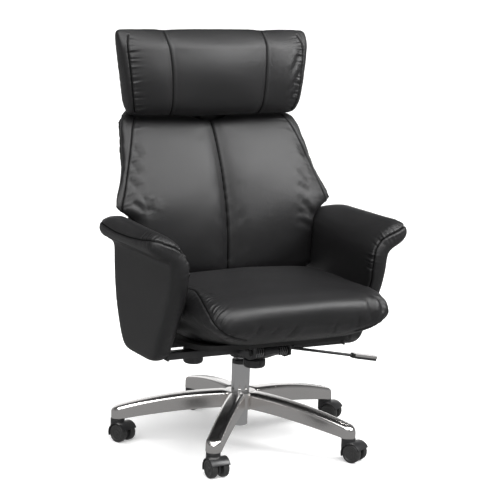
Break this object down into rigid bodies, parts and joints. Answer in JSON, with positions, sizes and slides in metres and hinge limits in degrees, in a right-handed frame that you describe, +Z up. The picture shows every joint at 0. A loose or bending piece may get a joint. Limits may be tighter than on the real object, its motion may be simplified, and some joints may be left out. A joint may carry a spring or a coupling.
{
  "type": "reclining swivel chair",
  "caption": "High-back upholstered reclining swivel chair with padded armrests, adjustable headrest, tilt mechanism, gas column and polished star base on twin-wheel casters.",
  "frame": {"origin": "on the floor, under the axis of the gas column", "axes": "+Z up; the sitter faces -Y; +X is at the sitter's left; metres"},
  "size_m": [0.752, 0.7085, 1.092],
  "materials": {
    "polished_metal": "polished",
    "bright_chrome": "polished",
    "zinc_steel": "satin",
    "black_steel": "satin",
    "black_plastic": "satin",
    "caster_plastic": "satin",
    "wheel_plastic": "satin",
    "plywood": "matt",
    "seat_leather": "satin",
    "back_leather": "satin",
    "headrest_leather": "satin",
    "arm_leather": "satin",
    "cover_leather": "matt"
  },
  "bodies": {
    "base": {"base_star": "polished_metal", "column_sleeve": "bright_chrome", "column_collar": "black_plastic", "column_rod": "zinc_steel", "caster_1_stem": "zinc_steel", "caster_2_stem": "zinc_steel", "caster_3_stem": "zinc_steel", "caster_4_stem": "zinc_steel", "caster_5_stem": "zinc_steel"},
    "caster_1": {"caster_1_hood": "caster_plastic", "caster_1_axle": "zinc_steel"},
    "caster_1_inner": {"caster_1_wheel_inner": "wheel_plastic"},
    "caster_1_outer": {"caster_1_wheel_outer": "wheel_plastic"},
    "caster_2": {"caster_2_hood": "caster_plastic", "caster_2_axle": "zinc_steel"},
    "caster_2_inner": {"caster_2_wheel_inner": "wheel_plastic"},
    "caster_2_outer": {"caster_2_wheel_outer": "wheel_plastic"},
    "caster_3": {"caster_3_hood": "caster_plastic", "caster_3_axle": "zinc_steel"},
    "caster_3_inner": {"caster_3_wheel_inner": "wheel_plastic"},
    "caster_3_outer": {"caster_3_wheel_outer": "wheel_plastic"},
    "caster_4": {"caster_4_hood": "caster_plastic", "caster_4_axle": "zinc_steel"},
    "caster_4_inner": {"caster_4_wheel_inner": "wheel_plastic"},
    "caster_4_outer": {"caster_4_wheel_outer": "wheel_plastic"},
    "caster_5": {"caster_5_hood": "caster_plastic", "caster_5_axle": "zinc_steel"},
    "caster_5_inner": {"caster_5_wheel_inner": "wheel_plastic"},
    "caster_5_outer": {"caster_5_wheel_outer": "wheel_plastic"},
    "lift": {"gas_piston": "bright_chrome"},
    "mechanism": {"tilt_housing": "black_steel"},
    "knob": {"tension_knob": "black_plastic"},
    "seat": {"seat_rail_left": "black_steel", "seat_rail_right": "black_steel", "tilt_pin": "zinc_steel", "tilt_spring": "zinc_steel", "arm_bar_front_left": "black_steel", "arm_bar_rear_left": "black_steel", "arm_bar_front_right": "black_steel", "arm_bar_rear_right": "black_steel", "seat_board": "plywood", "seat_cushion": "seat_leather", "frame_bolts": "zinc_steel", "armrest_left": "arm_leather", "armrest_right": "arm_leather", "recline_lock": "black_plastic", "recline_shaft": "zinc_steel"},
    "lever_pivot": {"lever_socket": "black_plastic"},
    "lever": {"lever_rod": "black_steel", "lever_grip": "black_plastic", "lever_insert": "bright_chrome"},
    "back": {"back_bracket": "black_steel", "back_cover": "cover_leather", "back_board": "plywood", "back_cushion": "back_leather", "back_bolts": "zinc_steel", "headrest_guide": "black_steel"},
    "headrest_carrier": {"headrest_strap": "zinc_steel"},
    "headrest": {"headrest_bar": "zinc_steel", "headrest_cushion": "headrest_leather"}
  },
  "joints": [
    {"name": "caster_1_swivel", "type": "hinge", "parent": "base", "child": "caster_1", "pos_m": [0.01738, 0.33154, 0.06], "axis": [0, 0, 1], "continuous": true},
    {"name": "caster_1_inner_roll", "type": "hinge", "parent": "caster_1", "child": "caster_1_inner", "pos_m": [0.02487, 0.313, 0.025], "axis": [0.9272, 0.3746, 0], "continuous": true},
    {"name": "caster_1_outer_roll", "type": "hinge", "parent": "caster_1", "child": "caster_1_outer", "pos_m": [0.02487, 0.313, 0.025], "axis": [0.9272, 0.3746, 0], "continuous": true},
    {"name": "caster_2_swivel", "type": "hinge", "parent": "base", "child": "caster_2", "pos_m": [-0.30995, 0.11898, 0.06], "axis": [0, 0, 1], "continuous": true},
    {"name": "caster_2_inner_roll", "type": "hinge", "parent": "caster_2", "child": "caster_2_inner", "pos_m": [-0.30246, 0.10043, 0.025], "axis": [0.9272, 0.3746, 0], "continuous": true},
    {"name": "caster_2_outer_roll", "type": "hinge", "parent": "caster_2", "child": "caster_2_outer", "pos_m": [-0.30246, 0.10043, 0.025], "axis": [0.9272, 0.3746, 0], "continuous": true},
    {"name": "caster_3_swivel", "type": "hinge", "parent": "base", "child": "caster_3", "pos_m": [-0.20893, -0.25801, 0.06], "axis": [0, 0, 1], "continuous": true},
    {"name": "caster_3_inner_roll", "type": "hinge", "parent": "caster_3", "child": "caster_3_inner", "pos_m": [-0.20824, -0.278, 0.025], "axis": [0.9994, 0.0349, 0], "continuous": true},
    {"name": "caster_3_outer_roll", "type": "hinge", "parent": "caster_3", "child": "caster_3_outer", "pos_m": [-0.20824, -0.278, 0.025], "axis": [0.9994, 0.0349, 0], "continuous": true},
    {"name": "caster_4_swivel", "type": "hinge", "parent": "base", "child": "caster_4", "pos_m": [0.18082, -0.27844, 0.06], "axis": [0, 0, 1], "continuous": true},
    {"name": "caster_4_inner_roll", "type": "hinge", "parent": "caster_4", "child": "caster_4_inner", "pos_m": [0.19082, -0.29576, 0.025], "axis": [0.866, 0.5, 0], "continuous": true},
    {"name": "caster_4_outer_roll", "type": "hinge", "parent": "caster_4", "child": "caster_4_outer", "pos_m": [0.19082, -0.29576, 0.025], "axis": [0.866, 0.5, 0], "continuous": true},
    {"name": "caster_5_swivel", "type": "hinge", "parent": "base", "child": "caster_5", "pos_m": [0.32069, 0.08593, 0.06], "axis": [0, 0, 1], "continuous": true},
    {"name": "caster_5_inner_roll", "type": "hinge", "parent": "caster_5", "child": "caster_5_inner", "pos_m": [0.33272, 0.06996, 0.025], "axis": [0.7986, 0.6018, 0], "continuous": true},
    {"name": "caster_5_outer_roll", "type": "hinge", "parent": "caster_5", "child": "caster_5_outer", "pos_m": [0.33272, 0.06996, 0.025], "axis": [0.7986, 0.6018, 0], "continuous": true},
    {"name": "height", "type": "slide", "parent": "base", "child": "lift", "axis": [0, 0, 1], "range_m": [0, 0.1]},
    {"name": "seat_swivel", "type": "hinge", "parent": "lift", "child": "mechanism", "pos_m": [0, 0, 0.247], "axis": [0, 0, 1], "continuous": true},
    {"name": "tension_turn", "type": "hinge", "parent": "mechanism", "child": "knob", "pos_m": [0, -0.075, 0.235], "axis": [0, 0, 1], "continuous": true},
    {"name": "seat_tilt", "type": "hinge", "parent": "mechanism", "child": "seat", "pos_m": [0, -0.16, 0.284], "axis": [-1, 0, 0], "range_deg": [0, 8], "stiffness_Nm_per_rad": 900, "springref_deg": -14.32},
    {"name": "lever_lift", "type": "hinge", "parent": "seat", "child": "lever_pivot", "pos_m": [0.069, -0.118, 0.27952], "axis": [0, -1, 0], "range_deg": [0, 5], "stiffness_Nm_per_rad": 2, "springref_deg": -5.73},
    {"name": "lever_pull", "type": "slide", "parent": "lever_pivot", "child": "lever", "axis": [0.9816, 0, -0.1908], "range_m": [0, 0.008], "stiffness_N_per_m": 400, "springref_m": -0.005},
    {"name": "back_recline", "type": "hinge", "parent": "seat", "child": "back", "pos_m": [0, 0.14, 0.3], "axis": [-1, 0, 0], "range_deg": [0, 30], "stiffness_Nm_per_rad": 80, "springref_deg": -22.92},
    {"name": "headrest_height", "type": "slide", "parent": "back", "child": "headrest_carrier", "axis": [0, 0.3007, 0.9537], "range_m": [0, 0.06]},
    {"name": "headrest_tilt", "type": "hinge", "parent": "headrest_carrier", "child": "headrest", "pos_m": [0, 0.219, 0.9195], "axis": [1, 0, 0], "range_deg": [0, 25]}
  ]
}
